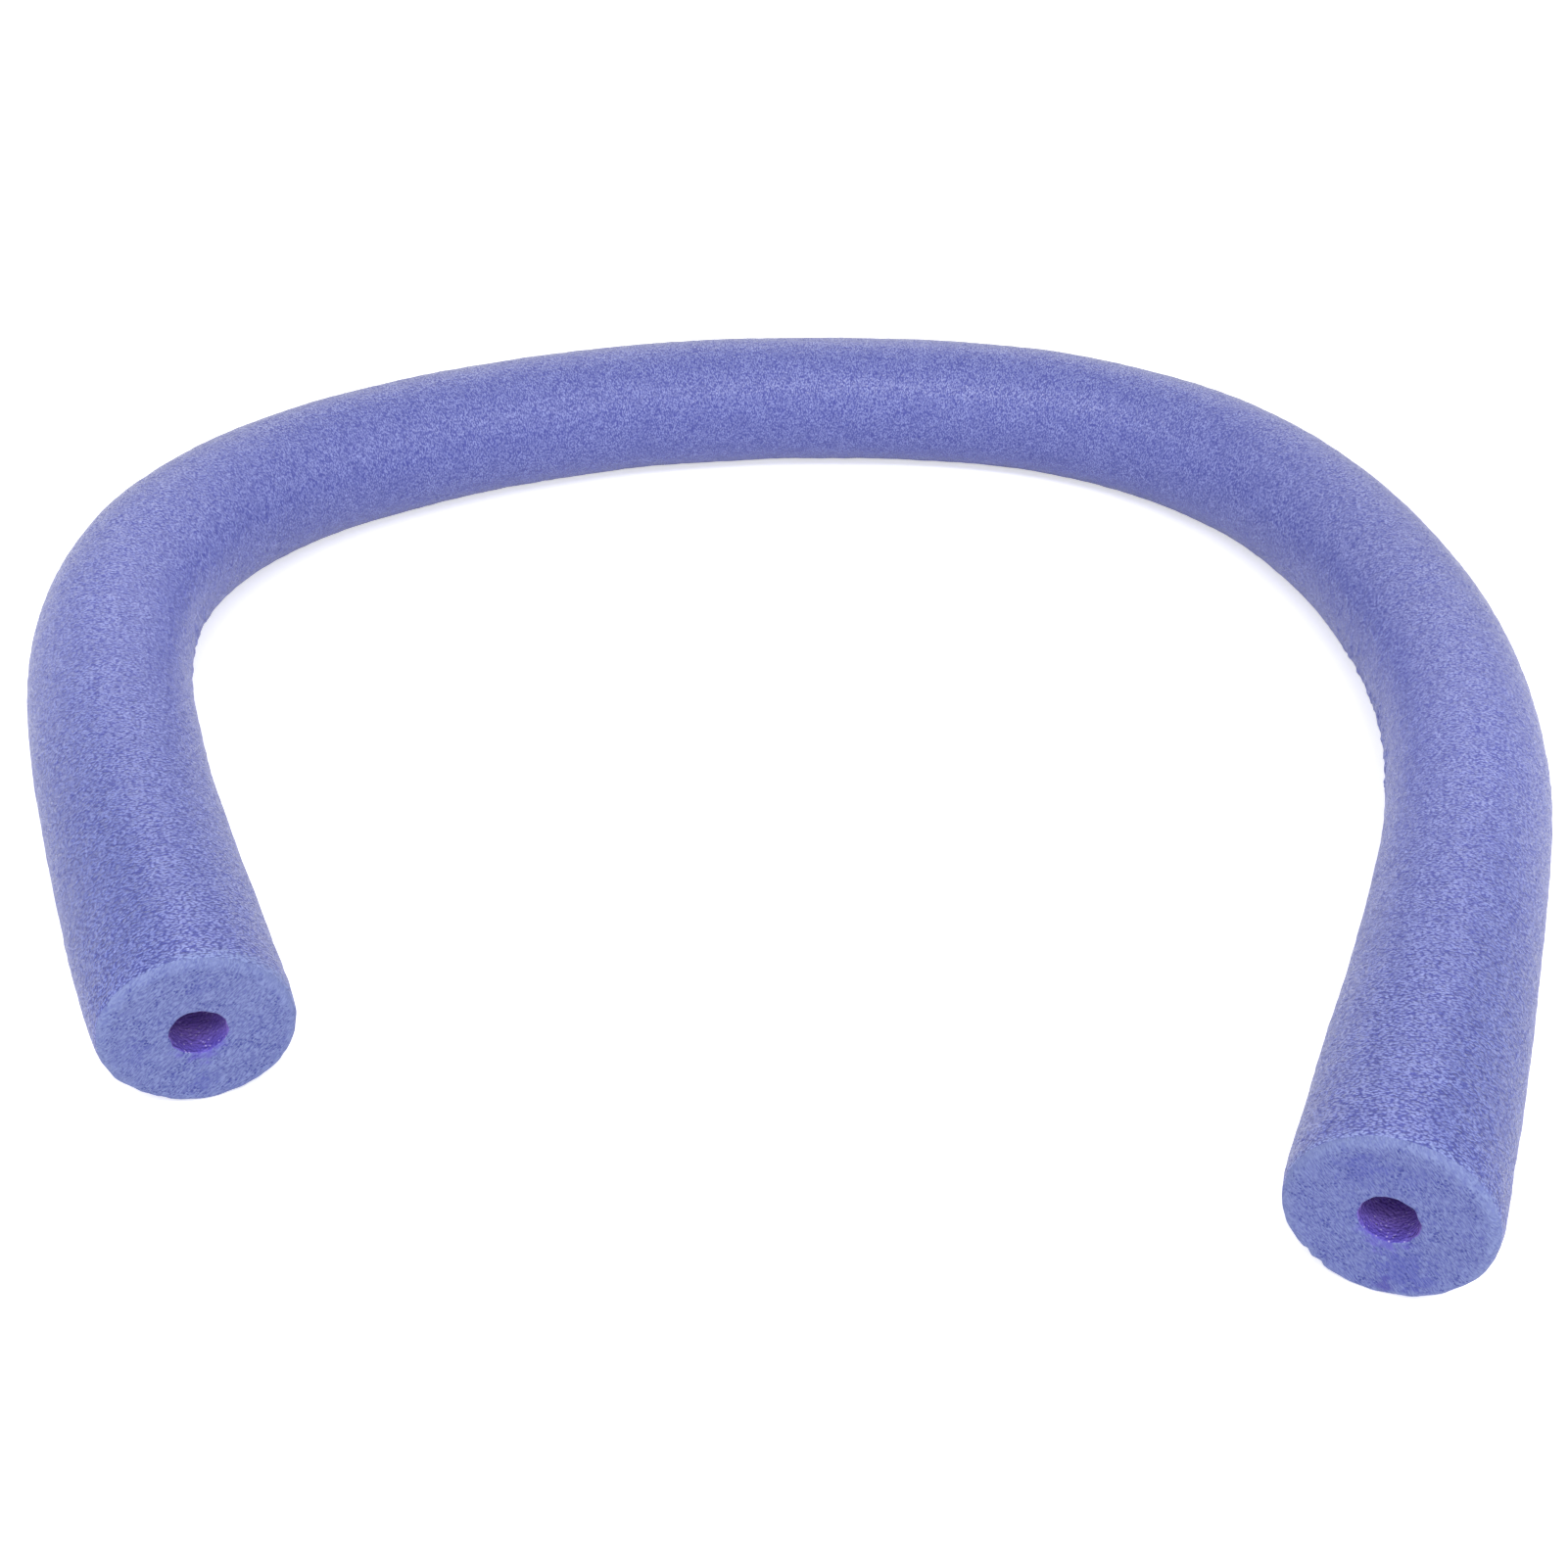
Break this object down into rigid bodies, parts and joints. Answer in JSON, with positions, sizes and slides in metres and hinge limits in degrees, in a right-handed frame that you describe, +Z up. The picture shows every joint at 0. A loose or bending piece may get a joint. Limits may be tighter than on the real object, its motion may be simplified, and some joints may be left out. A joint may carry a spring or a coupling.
{
  "type": "pool noodle",
  "caption": "Round foam pool noodle with a bore along its length, bent into a loose horseshoe as it lies on the ground, with a flat sawn face at each end.",
  "frame": {"origin": "on the ground, under the middle of the noodle's outline as seen from above", "axes": "+X to the right for someone who faces the open side of the horseshoe, +Y towards its closed side, +Z up"},
  "size_m": [0.6496, 0.6186, 0.0645],
  "materials": {
    "periwinkle_foam": "extruded closed-cell polyethylene foam in periwinkle blue, with a satin pebbled skin, matte sawn ends and a darker bore"
  },
  "bodies": {
    "root": {"foam_noodle": "periwinkle_foam"}
  },
  "joints": []
}
